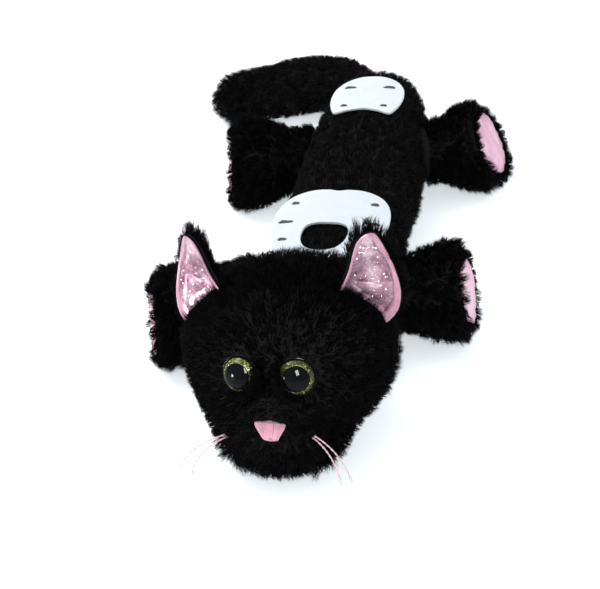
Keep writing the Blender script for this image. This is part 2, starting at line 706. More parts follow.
for side, sx in (("left", 1), ("right", -1)):
    fr = ear_frame(side)
    EARS[side] = fr
    out_u = 1.0 if ((np.array(EAR_CORNERS[side][1]) - np.array(EAR_CORNERS[side][0])) @ fr[1]) > 0 else -1.0
    # plush back, a little wider and taller than the lining
    half, height = fr[4] / 2 + 1.0, fr[5] + 1.5
    nu, nv = 41, 45
    u, v = np.meshgrid(np.linspace(-1, 1, nu), np.linspace(0, 1, nv) ** 0.9)
    pf = ear_point(fr, u, v, np.full(u.shape, -1.35), half, height, -0.6)
    thick = 4.2 * (1 - np.abs(u) ** 3) * (1 - v**2.5) + 0.8
    pb = ear_point(fr, u, v, -1.35 - thick, half, height, -0.6)
    verts, ff, bf, rf = sheet_between(pf, pb, nu, nv)
    me = tidy(poly_mesh("ear_%s_plush" % side, verts, ff + bf + rf, [BACKING]), 0.00002)
    o = add_object("ear_%s_plush" % side, me, "ear_" + side, ["ear_%s_back" % side])
    SKINS["ear_%s_plush" % side] = me

    # foil lining: crumpled glitter field inside a plain turned border, wide on the outer side
    nu, nv = 121, 141
    u, v = np.meshgrid(np.linspace(-1, 1, nu), np.linspace(0, 1, nv) ** 0.92)
    half, height = fr[4] / 2 - 0.1, fr[5] + 0.4
    hw = ear_half_width(v, half)
    dip = -1.8 * smoothstep(0.62, 1.0, np.abs(u)) * (1 - v) ** 3      # the corners are turned down into the pile
    flat = np.stack([hw * u, height * v, np.zeros(u.shape)], -1).reshape(-1, 3)
    border = 1.1 + 2.3 * smoothstep(-0.3, 0.6, u * out_u)
    edge = np.minimum((1 - np.abs(u)) * hw, (1 - v) * height * 0.55)
    inside = smoothstep(0.0, 0.7, edge - border)
    # folds that fan out of the inner corner, broken up by dents
    cx, cy = -out_u * half * 0.9, height * 0.12
    ang = np.arctan2(flat[:, 1] - cy, (flat[:, 0] - cx) * out_u)
    rad = np.hypot(flat[:, 0] - cx, flat[:, 1] - cy)
    warp = lumps(flat, 11.0, 90 + sx) * 0.5
    fan = np.abs(np.sin(ang * 5.5 + warp + 0.4 * sx)) ** 0.7
    dents = np.abs(lumps(flat, 10.5, 97 + sx))
    crease = (0.42 * fan * smoothstep(2.0, 7.0, rad) * (1 - 0.75 * smoothstep(9.0, 18.0, rad)) + 0.45 * dents + 0.07 * lumps(flat, 4.4, 94 + sx)).reshape(u.shape)
    depth = 0.45 + inside * (crease - 0.55) + 0.45 * (1 - inside) * smoothstep(0.0, 0.5, edge)
    depth = np.maximum(depth - 0.45 * np.exp(-(((edge - border) / 0.3) ** 2)), -0.35)
    pts = ear_point(fr, u, v, depth, half, height, 0.3) + dip[..., None] * fr[2]
    ptsb = ear_point(fr, u, v, depth - 0.5, half, height, 0.3) + dip[..., None] * fr[2]
    verts, ff, bf, rf = sheet_between(pts, ptsb, nu, nv)
    em = (edge - border).reshape(-1)
    first = np.array([em[list(f)].mean() < 0 for f in ff], int)
    idx = np.concatenate([first, np.ones(len(bf), int), np.ones(len(rf), int)])
    me = tidy(poly_mesh("ear_%s_foil" % side, verts, ff + bf + rf, [FOIL, FOIL_BORDER], idx), 0.000004)
    foil = add_object("ear_%s_foil" % side, me, "ear_" + side, ["ear_%s_lining" % side])
    LININGS.append((foil, me, side, 2.12 * half, 1.06 * height))

    # topstitch along the border, one short thread at a time
    parts = []
    for uu in (-1, 1):
        vv = np.linspace(0.02, 0.90, 300)
        hwv = ear_half_width(vv, half)
        un = uu * (1 - (1.15 + (2.3 if uu == out_u else 0.0)) / np.maximum(hwv, 3.6))
        q = ear_point(fr, un, vv, np.full(vv.shape, 0.30), half, height, 0.3)
        seg = np.concatenate([[0], np.cumsum(np.linalg.norm(np.diff(q, axis=0), axis=1))])
        at = 0.0
        while at + 1.2 < seg[-1] - 1.0:
            ss = np.linspace(at, at + 1.2, 5)
            line = np.column_stack([np.interp(ss, seg, q[:, k2]) for k2 in range(3)])
            line = line + fr[3] * (np.array([-0.16, 0.08, 0.12, 0.08, -0.16])[:, None])
            parts.append(tube(line, 0.11, 6))
            at += 1.75
    v_, f_ = join_parts(parts)
    add_object("ear_%s_topstitch" % side, outward(poly_mesh("ear_%s_topstitch" % side, v_, f_, [PINK_STITCH])), "ear_" + side)

    # flecks of foil that catch the light
    r = np.random.default_rng(70 + (sx > 0))
    grid = depth
    parts = []
    for _ in range(420):
        iu, iv = int(r.uniform(0.08, 0.92) * (nu - 1)), int(r.uniform(0.03, 0.90) * (nv - 1))
        if edge[iv, iu] < border[iv, iu] + 0.5:
            continue
        q = pts[iv, iu] + fr[3] * 0.10
        a = unit(fr[1] * r.normal() + fr[2] * r.normal() + fr[3] * r.normal() * 0.4)
        b = unit(np.cross(a, fr[3] + a * 0.1))
        c = np.cross(a, b)
        w = r.uniform(0.07, 0.17)
        vs = np.array([q + a * w, q + b * w, q - a * w, q - b * w, q + c * 0.05, q - c * 0.05])
        parts.append((vs, [(0, 1, 4), (1, 2, 4), (2, 3, 4), (3, 0, 4), (1, 0, 5), (2, 1, 5), (3, 2, 5), (0, 3, 5)]))
    v_, f_ = join_parts(parts)
    add_object("ear_%s_flecks" % side, outward(poly_mesh("ear_%s_flecks" % side, v_, f_, [FLECK], smooth=False)), "ear_" + side)

# ---------------------------------------------------------------------------
# soles: satin discs, gathered round the rim
# ---------------------------------------------------------------------------
SOLE_R = {}
for i, name in enumerate(LIMBS):
    pivot, end, d, nrm, side, upv, length, paw = leg_frame(name)
    a = unit(np.cross([0.0, 0.0, 1.0], nrm))
    b = np.cross(nrm, a)
    R = 0.86 * paw - 1.2
    SOLE_R[name] = R
    nr, nv = 34, 160
    t = 2 * math.pi * np.arange(nv) / nv
    rho = np.linspace(0.02, 1, nr)
    rng = np.random.default_rng(300 + i)
    ph = rng.uniform(0, 6.28, 6)
    pucker = sum(np.sin(kf * t + ph[j]) * amp for j, (kf, amp) in enumerate([(9, 0.25), (17, 0.3), (29, 0.22), (41, 0.15)]))
    depth = 1.9 * np.sqrt(np.maximum(0, 1 - (rho * 0.985) ** 2))[:, None] + (rho[:, None] ** 5) * pucker[None] * 0.8
    xy = rho[:, None] * R * (1 + 0.02 * np.sin(3 * t + ph[0]) + 0.015 * np.sin(5 * t + ph[1]))[None]
    rows = end + xy[..., None] * (np.cos(t)[None, :, None] * a + np.sin(t)[None, :, None] * b) + (depth - 0.25)[..., None] * nrm
    p = rows.reshape(-1, 3)
    soft = 0.30 * lumps(p, 15.0, 310 + i) + 0.12 * lumps(p, 6.0, 312 + i)
    p = p + nrm * soft[:, None]
    rows = p.reshape(rows.shape)
    rim = rows[-1] - nrm * 1.6
    rows = np.concatenate([rows, rim[None]])
    v_, f_ = closed_rows(rows)
    sole = add_object(name + "_satin_sole", outward(poly_mesh(name + "_satin_sole", v_, f_, [SATIN])), name, [name + "_sole"])

# ---------------------------------------------------------------------------
# eyes
# ---------------------------------------------------------------------------
EYE_R = 7.75


def dome(base, nn, radius, height, r0=0.0, r1=1.0, rings=26, nv=96, lift=0.0):
    """Part of a dome between shares r0 and r1 of its radius."""
    a = unit(np.cross(nn, [0.0, 0.0, 1.0]))
    b = np.cross(nn, a)
    t = 2 * math.pi * np.arange(nv) / nv
    ball_r = (radius**2 + height**2) / (2 * height)
    rho = np.linspace(max(r0, 0.001), r1, rings) * radius
    z = np.sqrt(ball_r**2 - rho**2) - (ball_r - height) + lift
    return base + rho[:, None, None] * (np.cos(t)[None, :, None] * a + np.sin(t)[None, :, None] * b) + z[:, None, None] * nn, a, b, t


for side, sx in (("left", 1), ("right", -1)):
    base, nn = eye_place(side)
    base = base - nn * 0.15
    # black pupil dome
    rows, a, b, t = dome(base, nn, EYE_R, 5.0, 0.0, 0.71, 26)
    foot = base + 0.71 * EYE_R * 0.97 * (np.cos(t)[:, None] * a + np.sin(t)[:, None] * b) + nn * 0.6
    v_, f_ = closed_rows(np.concatenate([rows, foot[None]]))
    add_object("eye_%s_dome" % side, outward(poly_mesh("eye_%s_dome" % side, v_, f_, [EYE_BLACK])), "head", ["eye_%s_pupil" % side, "eye_%s_lens" % side])
    # glitter ring round it, under the same clear coat
    rows, a, b, t = dome(base, nn, EYE_R, 5.0, 0.71, 1.0, 14, lift=0.02)
    foot = base + EYE_R * 0.985 * (np.cos(t)[:, None] * a + np.sin(t)[:, None] * b) + nn * 0.0
    foot2 = base + EYE_R * 0.675 * (np.cos(t)[:, None] * a + np.sin(t)[:, None] * b) + nn * 0.0
    ring_rows = np.concatenate([rows, foot[None], foot2[None]])
    nu = len(ring_rows)
    verts = ring_rows.reshape(-1, 3)
    faces = grid_faces(nu, len(t))
    nvv = len(t)
    for j in range(nvv):
        k = (j + 1) % nvv
        faces.append(((nu - 1) * nvv + j, (nu - 1) * nvv + k, k, j))
    add_object("eye_%s_ring" % side, outward(poly_mesh("eye_%s_ring" % side, verts, faces, [EYE_GLITTER])), "head", ["eye_%s_glitter_ring" % side])
    # rolled black lip
    ring = base + (EYE_R + 0.05) * (np.cos(t)[:, None] * a + np.sin(t)[:, None] * b) + nn * 0.35
    rows = []
    for q in np.linspace(0, 2 * math.pi, 9)[:-1]:
        rad = unit(ring - base - nn * 0.35)
        rows.append(ring + 0.42 * (math.cos(q) * rad + math.sin(q) * nn))
    rows = np.array(rows)
    verts = rows.reshape(-1, 3)
    faces = []
    for i in range(8):
        for j in range(nvv):
            k = (j + 1) % nvv
            faces.append((i * nvv + j, i * nvv + k, ((i + 1) % 8) * nvv + k, ((i + 1) % 8) * nvv + j))
    add_object("eye_%s_lip" % side, outward(poly_mesh("eye_%s_lip" % side, verts, faces, [EYE_BLACK])), "head")

# ---------------------------------------------------------------------------
# nose: satin stitch, thread by thread
# ---------------------------------------------------------------------------
HEAD_TREE = BVHTree.FromPolygons([v.co for v in SKINS["head_plush"].vertices], [tuple(p.vertices) for p in SKINS["head_plush"].polygons])


def on_head(x, z):
    hit, nrm_, _, _ = HEAD_TREE.ray_cast(Vector((x, -230, z)) * MM, Vector((0, 1, 0)))
    if hit is None:
        return np.array([x, -150.0, z]), np.array([0.0, -1.0, 0.0])
    return np.array(hit) / MM, np.array(nrm_)


NOSE_C = np.array([0.0, 38.8])     # x, z
NOSE_W, NOSE_FOOT, NOSE_BOT = 6.6, 0.44, 32.0


def nose_span(x):
    """Top and bottom z of the nose at x: a rounded, upside-down triangle with a blunt foot."""
    q = abs(x) / NOSE_W
    return 40.9 - 1.1 * q**2.2, NOSE_BOT + 0.35 * q**2


parts = []
rng = np.random.default_rng(11)
for x in np.arange(-NOSE_W + 0.35, NOSE_W - 0.3, 0.46):
    top, bottom = nose_span(x)
    if top - bottom < 0.4:
        continue
    zz = np.linspace(top, bottom, 12)
    fan = np.interp(np.linspace(0, 1, 12), [0, 0.12, 1], [0.97, 1.0, NOSE_FOOT])
    pts = []
    for kz, (z, fx) in enumerate(zip(zz, fan)):
        xx = x * fx + rng.normal() * 0.05 - 0.3
        q, nn = on_head(xx, z)
        share = kz / 11
        puff = 1.0 + 1.3 * math.sin(math.pi * min(max(share, 0.0), 1.0)) ** 0.6 * (1 - 0.35 * (abs(x) / NOSE_W) ** 2)
        pts.append(q + nn * puff)
    parts.append(tube(np.array(pts) + nn * rng.uniform(-0.22, 0.18), rng.uniform(0.17, 0.29), 7))
v_, f_ = join_parts(parts)
nose = add_object("nose_satin_stitch", outward(poly_mesh("nose_satin_stitch", v_, f_, [NOSE_THREAD])), "head", ["nose_embroidery"])

# padding felt under the stitches
pad_rows = []
for share in (1.0, 0.98, 0.8, 0.5, 0.15):
    ring = []
    for t in np.linspace(0, 2 * math.pi, 49)[:-1]:
        x = math.cos(t) * (NOSE_W - 0.3)
        top, bottom = nose_span(x)
        z = top * (0.5 + 0.5 * math.sin(t)) + bottom * (0.5 - 0.5 * math.sin(t))
        xx = x * (NOSE_FOOT + (1 - NOSE_FOOT) * (z - NOSE_BOT) / 9.0) - 0.3
        cx, cz = -0.3, 37.2
        xx, z = cx + (xx - cx) * share, cz + (z - cz) * share
        q, nn = on_head(xx, z)
        ring.append(q + nn * (0.05 if share == 1.0 else 0.35 + 1.1 * (1 - share**2)))
    pad_rows.append(ring)
v_, f_ = closed_rows(np.array(pad_rows))
add_object("nose_pad", outward(poly_mesh("nose_pad", v_, f_, [NOSE_THREAD])), "head")

# ---------------------------------------------------------------------------
# whiskers: two-ply threads, a little unravelled at the ends
# ---------------------------------------------------------------------------
for side, sx in (("left", 1), ("right", -1)):
    parts = []
    knots = []
    (rx, rz), tip_a, tip_b = WHISKERS[side]
    q, nn = on_head(rx - (0.8 if side == "left" else 0.0), rz - (1.2 if side == "left" else 2.6))
    for tipp, off in ((np.array(tip_a), np.array([sx * 0.5, 0, 0.5])), (np.array(tip_b), np.array([-sx * 0.5, 0, -0.5]))):
        start = q + nn * 1.0 + off
        midp = (start + tipp) * 0.5 + np.array([sx * 2.2, -1.0, 3.4])
        tt = np.linspace(0, 1, 60)
        ctrl = 2 * midp - 0.5 * (start + tipp)
        line = (1 - tt)[:, None] ** 2 * start + (2 * tt * (1 - tt))[:, None] * ctrl + (tt**2)[:, None] * tipp
        tng = unit(np.gradient(line, axis=0))
        a = unit(np.cross(tng, [0.0, 1.0, 0.0]))
        b = np.cross(tng, a)
        for ply in (0, math.pi):
            ang = ply + tt * 34.0
            open_ = 0.17 + 0.55 * smoothstep(0.80, 1.0, tt)
            helix = line + open_[:, None] * (np.cos(ang)[:, None] * a + np.sin(ang)[:, None] * b)
            parts.append(tube(helix, np.interp(tt, [0, 0.85, 1.0], [0.20, 0.18, 0.07]), 6))
        knots.append(start)
    v_, f_ = join_parts(parts)
    add_object("whisker_threads_" + side, outward(poly_mesh("whisker_threads_" + side, v_, f_, [WHISKER])), "head", ["whiskers_" + side] + (["whisker_knots"] if side == "left" else []))
    kparts = []
    for kp in knots:
        for j in range(3):
            th = np.linspace(0, 2 * math.pi, 15)[:-1]
            tilt = Matrix.Rotation(j * 1.05, 3, "X") @ Matrix.Rotation(j * 0.8, 3, "Z")
            loop = np.array([list(tilt @ Vector((0.45 * math.cos(x), 0.12 * math.sin(2 * x), 0.45 * math.sin(x)))) for x in th]) + kp
            loop = np.vstack([loop, loop[:1] + 0.05])
            kparts.append(tube(loop, 0.2, 6))
    v_, f_ = join_parts(kparts)
    add_object("whisker_knots_" + side, outward(poly_mesh("whisker_knots_" + side, v_, f_, [WHISKER])), "head")

# ---------------------------------------------------------------------------
# white plates: cut sheet with rounded edges, bent to the back
# ---------------------------------------------------------------------------
shoulder_half = [(0.0, -23.6), (5.0, -22.6), (12.0, -22.8), (19.0, -25.2), (24.5, -29.6), (28.0, -37.0), (29.0, -46.0), (28.2, -56.0), (25.4, -66.0), (21.5, -74.5), (15.0, -80.0), (7.0, -82.0), (0.0, -82.4)]
rump_half = [(0.0, 99.4), (8.0, 98.2), (15.0, 93.6), (19.6, 86.0), (21.0, 77.0), (20.2, 67.5), (18.2, 60.6), (16.0, 56.6), (13.0, 56.7), (9.0, 58.6), (0.0, 60.4)]
SLOTS_SHOULDER = [(-20.0, -34.0, 4.2), (20.0, -34.0, 4.2), (-21.4, -50.2, 7.6), (21.4, -50.2, 7.6), (-19.8, -65.2, 4.6), (19.8, -65.2, 4.6)]
SLOTS_RUMP = [(-11.4, 85.8, 7.4), (11.4, 85.8, 7.4), (-11.4, 63.8, 4.2), (11.4, 63.8, 4.2)]


def closed_outline(half, x0):
    pts = [(x0 + x, y) for x, y in half] + [(x0 - x, y) for x, y in reversed(half[1:-1])]
    p = np.array(pts)
    n_ = len(p)
    out = []
    for i in range(n_):
        p0, p1, p2, p3 = p[i - 1], p[i], p[(i + 1) % n_], p[(i + 2) % n_]
        for t in np.linspace(0, 1, 9)[:-1]:
            out.append(0.5 * ((2 * p1) + (-p0 + p2) * t + (2 * p0 - 5 * p1 + 4 * p2 - p3) * t * t + (-p0 + 3 * p1 - 3 * p2 + p3) * t**3))
    return np.array(out)


def rounded_slot(x, y, length, width):
    """A slot with round ends, slightly irregular as punched by hand."""
    r_, h_ = width / 2, length / 2 - width / 2
    pts = [(x + h_ + r_ * math.cos(t), y + r_ * math.sin(t)) for t in np.linspace(-math.pi / 2, math.pi / 2, 8)]
    pts += [(x - h_ + r_ * math.cos(t), y + r_ * math.sin(t)) for t in np.linspace(math.pi / 2, 1.5 * math.pi, 8)]
    return np.array(pts)


def plate_piece(name, half, x0, top_z, slots, hole, node):
    cu = bpy.data.curves.new(name, "CURVE")
    cu.dimensions = "2D"
    cu.fill_mode = "BOTH"
    loops = [closed_outline(half, x0)] + [rounded_slot(x0 + x, y, l_, 2.0) for x, y, l_ in slots]
    if hole:
        loops.append(closed_outline(hole, x0))
    for lp in loops:
        sp = cu.splines.new("POLY")
        sp.points.add(len(lp) - 1)
        for pt, q in zip(sp.points, lp):
            pt.co = (q[0], q[1], 0, 1)
        sp.use_cyclic_u = True
    bevel = 0.42
    cu.extrude = PLATE_T / 2 - bevel
    cu.bevel_depth = bevel
    cu.bevel_resolution = 3
    cu.offset = -bevel
    tmp = bpy.data.objects.new(name + "_curve", cu)
    scene.collection.objects.link(tmp)
    bpy.context.view_layer.update()
    me = bpy.data.meshes.new_from_object(tmp.evaluated_get(bpy.context.evaluated_depsgraph_get()))
    bpy.data.objects.remove(tmp)
    bpy.data.curves.remove(cu)
    bm = bmesh.new()
    bm.from_mesh(me)
    bmesh.ops.remove_doubles(bm, verts=bm.verts, dist=0.002)
    for x in np.arange(-32, 36, 2.5):
        bmesh.ops.bisect_plane(bm, geom=bm.verts[:] + bm.edges[:] + bm.faces[:], dist=0.0005, plane_co=(x, 0, 0), plane_no=(1, 0, 0))
    for v in bm.verts:
        x = v.co.x - x0
        v.co.z += top_z - PLATE_T / 2 - (PLATE_BEND_R - math.sqrt(PLATE_BEND_R**2 - x * x))
        v.co *= MM
    bmesh.ops.recalc_face_normals(bm, faces=bm.faces)
    bm.to_mesh(me)
    bm.free()
    me.materials.clear()
    me.materials.append(PLATE)
    me.name = name
    for pl in me.polygons:
        pl.use_smooth = True
        pl.material_index = 0
    me.set_sharp_from_angle(angle=math.radians(50))
    return add_object(name, me, "torso", [node])


plate_piece("shoulder_plate_sheet", shoulder_half, SHOULDER_X, SHOULDER_Z, SLOTS_SHOULDER, hole_half, "shoulder_plate")
plate_piece("rump_plate_sheet", rump_half, RUMP_X, RUMP_Z, SLOTS_RUMP, None, "rump_plate")


def slot_threads(name, x0, top_z, slots, node):
    rng = np.random.default_rng(21 if "rump" in name else 20)
    parts = []
    for x, y, length in slots:
        drop = PLATE_BEND_R - math.sqrt(PLATE_BEND_R**2 - x * x)
        for kx in range(5):
            yy = y + (kx - 2) * 0.34 + rng.normal() * 0.05
            tt = np.linspace(-1, 1, 11)
            zz = top_z - drop + 0.12 - 1.7 * np.abs(tt) ** 5 + rng.normal() * 0.06
            pts = np.column_stack([x0 + x + tt * (length / 2 - 0.25), np.full(11, yy) + 0.12 * np.sin(tt * 3 + kx), zz])
            parts.append(tube(pts, 0.33, 7))
    v_, f_ = join_parts(parts)
    add_object(name, outward(poly_mesh(name, v_, f_, [BLACK_THREAD])), "torso", [node])


slot_threads("shoulder_plate_threads", SHOULDER_X, SHOULDER_Z, SLOTS_SHOULDER, "shoulder_plate_stitches")
slot_threads("rump_plate_threads", RUMP_X, RUMP_Z, SLOTS_RUMP, "rump_plate_stitches")

# CAD nodes that stay: the parts inside the head
for nname, mt in (("eye_left_shank", EYE_BLACK), ("eye_right_shank", EYE_BLACK), ("eye_left_washer", WASHER), ("eye_right_washer", WASHER)):
    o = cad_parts[nname]
    o.data.materials.clear()
    o.data.materials.append(mt)

# ---------------------------------------------------------------------------
# fur: every strand is a thin tapering spike of real mesh
# ---------------------------------------------------------------------------


def mesh_arrays(me):
    me.calc_loop_triangles()
    co = np.zeros(len(me.vertices) * 3, np.float32)
    me.vertices.foreach_get("co", co)
    nv_ = np.zeros(len(me.vertices) * 3, np.float32)
    me.vertices.foreach_get("normal", nv_)
    tri = np.zeros(len(me.loop_triangles) * 3, np.int32)
    me.loop_triangles.foreach_get("vertices", tri)
    return co.reshape(-1, 3).astype(float) / MM, nv_.reshape(-1, 3).astype(float), tri.reshape(-1, 3)


def scatter(me, count, seed, weight=None):
    """Points spread over a mesh, with their normals."""
    co, nn, tri = mesh_arrays(me)
    a, b, c = co[tri[:, 0]], co[tri[:, 1]], co[tri[:, 2]]
    area = np.linalg.norm(np.cross(b - a, c - a), axis=1)
    if weight is not None:
        area = area * weight((a + b + c) / 3)
    r = np.random.default_rng(seed)
    i = r.choice(len(tri), count, p=area / area.sum())
    u, v = r.random(count), r.random(count)
    f = u + v > 1
    u, v = np.where(f, 1 - u, u)[:, None], np.where(f, 1 - v, v)[:, None]
    P = a[i] + u * (b[i] - a[i]) + v * (c[i] - a[i])
    N = unit((1 - u - v) * nn[tri[i, 0]] + u * nn[tri[i, 1]] + v * nn[tri[i, 2]])
    return P, N


def surface_area(me, keep=None):
    co, _, tri = mesh_arrays(me)
    a, b, c = co[tri[:, 0]], co[tri[:, 1]], co[tri[:, 2]]
    ar = 0.5 * np.linalg.norm(np.cross(b - a, c - a), axis=1)
    return ar.sum()


def nearest(points, centres):
    tree = KDTree(len(centres))
    for i, p in enumerate(centres):
        tree.insert(p, i)
    tree.balance()
    return np.array([tree.find(p)[1] for p in points], int)


TOTAL = {"strands": 0, "faces": 0}


def strand_mesh(name, body, root, mid, tip, width, mats, mat_index, rings=3):
    """Three-sided closed spikes through root, mid and tip."""
    n_ = len(root)
    if rings == 3:
        ts, ws = np.array([0.0, 0.42, 0.76]), np.array([1.0, 0.85, 0.5])
    else:
        ts, ws = np.array([0.0, 0.55]), np.array([1.0, 0.72])
    ctrl = 2 * mid - 0.5 * (root + tip)
    axis = unit(tip - root)
    ref = np.where(np.abs(axis[:, 2:3]) < 0.8, np.array([[0.0, 0.0, 1.0]]), np.array([[1.0, 0.0, 0.0]]))
    a = unit(np.cross(axis, ref))
    b = np.cross(axis, a)
    K = len(ts)
    verts = np.zeros((n_, 3 * K + 1, 3))
    for k, (t, w) in enumerate(zip(ts, ws)):
        c = (1 - t) ** 2 * root + 2 * t * (1 - t) * ctrl + t * t * tip
        for j in range(3):
            ang = j * 2 * math.pi / 3 + 0.5 * k
            verts[:, 3 * k + j] = c + (w * width)[:, None] * (math.cos(ang) * a + math.sin(ang) * b)
    verts[:, 3 * K] = tip
    verts[..., 2] = np.maximum(verts[..., 2], 0.25)
    pat, starts = [], []
    for k in range(K - 1):
        for j in range(3):
            q = (j + 1) % 3
            starts.append(len(pat))
            pat += [3 * k + j, 3 * k + q, 3 * (k + 1) + q, 3 * (k + 1) + j]
    for j in range(3):
        q = (j + 1) % 3
        starts.append(len(pat))
        pat += [3 * (K - 1) + j, 3 * (K - 1) + q, 3 * K]
    starts.append(len(pat))
    pat += [2, 1, 0]
    pat, starts = np.array(pat), np.array(starts)
    nverts = 3 * K + 1
    loops = (pat[None] + np.arange(n_)[:, None] * nverts).ravel()
    ls = (starts[None] + np.arange(n_)[:, None] * len(pat)).ravel()
    me = bpy.data.meshes.new(name)
    me.vertices.add(n_ * nverts)
    me.vertices.foreach_set("co", (verts.reshape(-1) * MM).astype(np.float32))
    me.loops.add(len(loops))
    me.loops.foreach_set("vertex_index", loops.astype(np.int32))
    me.polygons.add(len(ls))
    me.polygons.foreach_set("loop_start", ls.astype(np.int32))
    me.polygons.foreach_set("material_index", np.repeat(mat_index, len(starts)).astype(np.int32))
    me.polygons.foreach_set("use_smooth", np.ones(len(ls), bool))
    for mt in mats:
        me.materials.append(mt)
    me.update(calc_edges=True)
    TOTAL["strands"] += n_
    TOTAL["faces"] += n_ * ((K - 1) * 6 + 4)
    return add_object(name, me, body)


def fur(label, body, P, N, comb, length, width=0.16, lean=0.6, clump=2.6, clump_pull=0.55, jitter=0.28, seed=0, mats=FUR, shades=(0.45, 0.33, 0.17, 0.05), rings=3, droop=0.12, order=None, sink=0.5):
    """Strands at points P with normals N. comb is the way the pile is brushed; lean is how far it lies over, from 0 upright to 1 flat."""
    r = np.random.default_rng(seed)
    n_ = len(P)
    comb = comb - (comb * N).sum(1)[:, None] * N
    comb = unit(comb + 1e-9) * np.minimum(1, np.linalg.norm(comb, axis=1, keepdims=True) + 0.3)
    lean = np.broadcast_to(np.asarray(lean, float), (n_,))
    L = np.asarray(length) * r.uniform(0.72, 1.22, n_)
    jit = r.normal(size=(n_, 3)) * jitter
    d_mid = unit(N * (1 - 0.45 * lean)[:, None] + comb * (0.55 * lean)[:, None] + jit * 0.5)
    d_tip = unit(N * (1 - 0.85 * lean)[:, None] + comb * lean[:, None] + jit + np.array([0, 0, -1.0]) * droop)
    root = P - N * sink
    mid = root + d_mid * (0.5 * L)[:, None]
    tip = mid + d_tip * (0.55 * L)[:, None]
    if clump:
        count = max(8, int(n_ * 1.0 / max(4.0, clump * clump * 2.2)))
        ci = r.choice(n_, count, replace=False)
        near = nearest(P, P[ci])
        cj = ci[near]
        gather = clump_pull * r.uniform(0.6, 1.25, n_)[:, None]
        shift = np.clip(gather, 0, 0.95)
        tip_goal = tip[cj] + N * 0.0
        far = np.linalg.norm(P - P[cj], axis=1)[:, None]
        shift = shift * np.clip(1.4 - far / (clump * 1.6), 0.15, 1)
        tip = tip + (tip_goal - tip) * shift
        mid = mid + (mid[cj] - mid) * shift * 0.35
    mi = r.choice(len(mats), n_, p=shades)
    if clump:
        by_tuft = r.random(n_) < 0.55
        mi = np.where(by_tuft, mi[cj], mi)
    w = width * r.uniform(0.75, 1.25, n_)
    per = 12000 if rings == 3 else 19000
    idx = np.argsort(order if order is not None else P[:, 1], kind="stable")
    pieces = max(1, math.ceil(n_ / per))
    for k, part in enumerate(np.array_split(idx, pieces)):
        nm = "fur_%s" % label if pieces == 1 else "fur_%s_%d" % (label, k + 1)
        strand_mesh(nm, body, root[part], mid[part], tip[part], w[part], mats, mi[part], rings)


def count_for(me, per_mm2):
    return int(surface_area(me) * per_mm2 * DENSITY)


def below_plate(P, margin=0.0):
    """How far under a plate each point is allowed to reach: height of the plate's underside, or a large number."""
    out = np.full(len(P), 1e3)
    for half, x0, top in ((shoulder_half, SHOULDER_X, SHOULDER_Z), (rump_half, RUMP_X, RUMP_Z)):
        poly = closed_outline(half, x0)
        inside = in_polygon(P[:, :2], poly)
        if margin:
            for dx, dy in ((margin, 0), (-margin, 0), (0, margin), (0, -margin)):
                inside |= in_polygon(P[:, :2] + np.array([dx, dy]), poly)
        x = P[:, 0] - x0
        z = top - PLATE_T - (PLATE_BEND_R - np.sqrt(np.maximum(PLATE_BEND_R**2 - x**2, 1)))
        if x0 == SHOULDER_X:
            rim = closed_outline(hole_half, SHOULDER_X)
            rim = rim.mean(0) + (rim - rim.mean(0)) * (0.87 - 0.04 * margin)
            inside &= ~in_polygon(P[:, :2], rim)
        out = np.where(inside & (P[:, 2] > 30), np.minimum(out, z), out)
    return out


def in_polygon(p, poly):
    inside = np.zeros(len(p), bool)
    x, y = p[:, 0], p[:, 1]
    a = poly
    b = np.roll(poly, -1, axis=0)
    for (x1, y1), (x2, y2) in zip(a, b):
        if y1 == y2:
            continue
        cross = ((y1 > y) != (y2 > y)) & (x < (x2 - x1) * (y - y1) / (y2 - y1) + x1)
        inside ^= cross
    return inside


# ---- torso: short dense velvet on top, a little longer down the flanks -----
me = SKINS["torso_plush"]
P, N = scatter(me, count_for(me, 1.25), 101, lambda q: np.where(q[:, 2] < 3.0, 0.05, 1.0) * np.where(q[:, 1] < -84, 0.4, 1.0))
keep = ~((N[:, 2] < -0.85) & (P[:, 2] < 1.5))
under = below_plate(P, 0.0)
keep &= ~(under < P[:, 2] + 0.4)
seam = (np.abs(P[:, 0] + 0.3) < 0.55) & (P[:, 1] > -16) & (P[:, 1] < 54) & (P[:, 2] > 40)
keep &= ~(seam & (np.random.default_rng(5).random(len(P)) < 0.7))
P, N, under = P[keep], N[keep], under[keep]
flank = smoothstep(44, 22, P[:, 2])
L = 4.2 + 2.4 * flank + 2.2 * smoothstep(88, 106, P[:, 1])
room = np.where(under < 500, np.maximum(under - P[:, 2] - 0.35, 0.5), 99)
near_edge = below_plate(P, 2.2) < 500
L = np.minimum(L, np.where(room < 50, room * 1.1, 99))
L = np.where(near_edge & (room > 50), np.minimum(L, 3.2), L)
comb = np.column_stack([0.35 * P[:, 0] / 30, np.ones(len(P)), -0.9 * flank])
lean = np.where(room < 50, 0.98, 0.62 + 0.1 * flank)
fur("torso", "torso", P, N, comb, L, 0.15, lean, 3.2, 0.62, 0.26, 102, FUR_BODY, (0.44, 0.33, 0.18, 0.05), rings=2)

